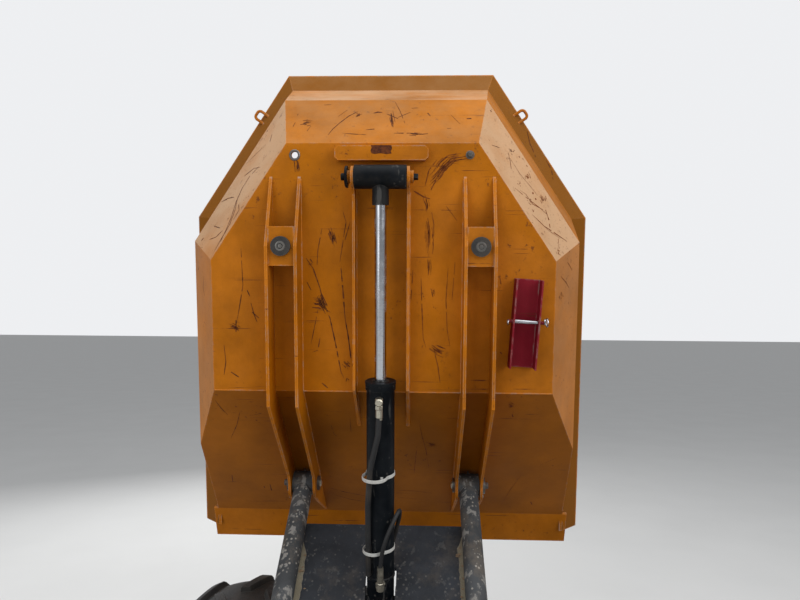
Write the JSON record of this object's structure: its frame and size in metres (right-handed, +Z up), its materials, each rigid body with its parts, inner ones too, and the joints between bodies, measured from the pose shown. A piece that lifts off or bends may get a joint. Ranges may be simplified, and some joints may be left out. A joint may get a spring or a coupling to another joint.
{
  "type": "swivel-skip site dumper",
  "caption": "Articulated four-wheel site dumper with its swivel skip turned to the side and tipped, roll bar, bonnet and tow jaw.",
  "frame": {"origin": "on the ground under the middle of the whole machine's box, as parked", "axes": "+X towards the front half's travel, +Y to its left, +Z up"},
  "size_m": [4.0108, 2.7346, 3.5143],
  "materials": {
    "body_paint": "construction yellow, satin",
    "cast_metal": "painted dark",
    "chassis_paint": "dark grey, muddy",
    "lens_amber": "clear amber",
    "lens_red": "red",
    "lock_red": "red, scuffed",
    "pin_steel": "plain, oily",
    "plastic_dark": "moulded, grained",
    "ram_paint": "black, satin",
    "rim_paint": "yellow, dusty",
    "rod_chrome": "polished",
    "rubber_black": "matt",
    "seat_vinyl": "black vinyl",
    "skip_paint": "construction yellow, scratched",
    "tyre_rubber": "dusty"
  },
  "bodies": {
    "front_chassis": {"front_frame": "chassis_paint", "front_axle": "cast_metal", "slew_ring": "cast_metal"},
    "cradle": {"cradle_rails": "chassis_paint", "cradle_plate": "chassis_paint"},
    "skip": {"skip_shell": "skip_paint", "skip_ribs": "skip_paint", "skip_spine": "skip_paint", "tip_pins": "pin_steel", "rest_buffers": "rubber_black", "ram_lock": "lock_red", "lifting_loops": "skip_paint"},
    "ram_barrel": {"ram_barrel": "ram_paint", "ram_hoses": "rubber_black"},
    "ram_rod": {"ram_rod": "rod_chrome"},
    "steer_barrel": {"steer_barrel": "ram_paint"},
    "steer_rod": {"steer_rod": "rod_chrome"},
    "rear_chassis": {"rear_frame": "chassis_paint", "operator_floor": "chassis_paint", "console": "plastic_dark", "steering_wheel": "plastic_dark", "seat_box": "body_paint", "seat_cushion": "seat_vinyl", "seat_back": "seat_vinyl", "fuel_tank": "plastic_dark", "hydraulic_tank": "plastic_dark", "engine_block": "cast_metal", "engine_panels": "body_paint", "grille": "plastic_dark", "counterweight": "cast_metal", "rops_posts": "chassis_paint", "rear_lamps": "lens_red", "mudguards": "plastic_dark", "rear_axle": "cast_metal"},
    "bonnet": {"bonnet": "body_paint"},
    "rops_hoop": {"rops_hoop": "chassis_paint", "beacon": "lens_amber"},
    "wheel_front_left": {"tyre_front_left": "tyre_rubber", "rim_front_left": "rim_paint"},
    "wheel_front_right": {"tyre_front_right": "tyre_rubber", "rim_front_right": "rim_paint"},
    "wheel_rear_left": {"tyre_rear_left": "tyre_rubber", "rim_rear_left": "rim_paint"},
    "wheel_rear_right": {"tyre_rear_right": "tyre_rubber", "rim_rear_right": "rim_paint"}
  },
  "joints": [
    {"name": "steering", "type": "hinge", "parent": "front_chassis", "child": "rear_chassis", "pos_m": [0.29593, -0.12371, 0.69942], "axis": [0, 0, 1], "range_deg": [-15, 51]},
    {"name": "slew", "type": "hinge", "parent": "front_chassis", "child": "cradle", "pos_m": [0.86593, -0.12371, 0.99942], "axis": [0, 0, 1], "range_deg": [0, 180]},
    {"name": "tip", "type": "hinge", "parent": "cradle", "child": "skip", "pos_m": [0.86593, -0.97371, 1.54942], "axis": [1, 0, 0], "range_deg": [-81.4, 0]},
    {"name": "ram_swing", "type": "hinge", "parent": "cradle", "child": "ram_barrel", "pos_m": [0.86593, -0.65371, 1.15542], "axis": [1, 0, 0], "range_deg": [-81.13, 0]},
    {"name": "ram_slide", "type": "slide", "parent": "ram_barrel", "child": "ram_rod", "axis": [0, 0.1656, 0.9862], "range_m": [-0.6632, 0]},
    {"name": "steer_swing", "type": "hinge", "parent": "front_chassis", "child": "steer_barrel", "pos_m": [0.56593, 0.10629, 0.54442], "axis": [0, 0, 1], "range_deg": [-8.3, 28.09]},
    {"name": "steer_slide", "type": "slide", "parent": "steer_barrel", "child": "steer_rod", "axis": [-0.9847, 0.1742, 0], "range_m": [-0.0566, 0.1915]},
    {"name": "bonnet_hinge", "type": "hinge", "parent": "rear_chassis", "child": "bonnet", "pos_m": [-1.82492, 0.56539, 0.95942], "axis": [0.309, 0.9511, 0], "range_deg": [-60, 0]},
    {"name": "rops_fold", "type": "hinge", "parent": "rear_chassis", "child": "rops_hoop", "pos_m": [-1.19723, 0.36144, 1.75942], "axis": [0.309, 0.9511, 0], "range_deg": [-95, 0]},
    {"name": "wheel_front_left", "type": "hinge", "parent": "front_chassis", "child": "wheel_front_left", "pos_m": [1.46593, 0.70629, 0.53942], "axis": [0, 1, 0], "continuous": true},
    {"name": "wheel_front_right", "type": "hinge", "parent": "front_chassis", "child": "wheel_front_right", "pos_m": [1.46593, -0.95371, 0.53942], "axis": [0, 1, 0], "continuous": true},
    {"name": "wheel_rear_left", "type": "hinge", "parent": "rear_chassis", "child": "wheel_rear_left", "pos_m": [-0.58885, 1.03648, 0.53942], "axis": [0.309, 0.9511, 0], "continuous": true},
    {"name": "wheel_rear_right", "type": "hinge", "parent": "rear_chassis", "child": "wheel_rear_right", "pos_m": [-1.10182, -0.54227, 0.53942], "axis": [0.309, 0.9511, 0], "continuous": true}
  ],
  "couplings": [
    {"joint": "ram_swing", "follows": "tip", "ratio": 0.99464},
    {"joint": "ram_slide", "follows": "tip", "m_per_rad": 0.4659},
    {"joint": "steer_swing", "follows": "steering", "ratio": 0.54976},
    {"joint": "steer_slide", "follows": "steering", "m_per_rad": 0.21475}
  ]
}
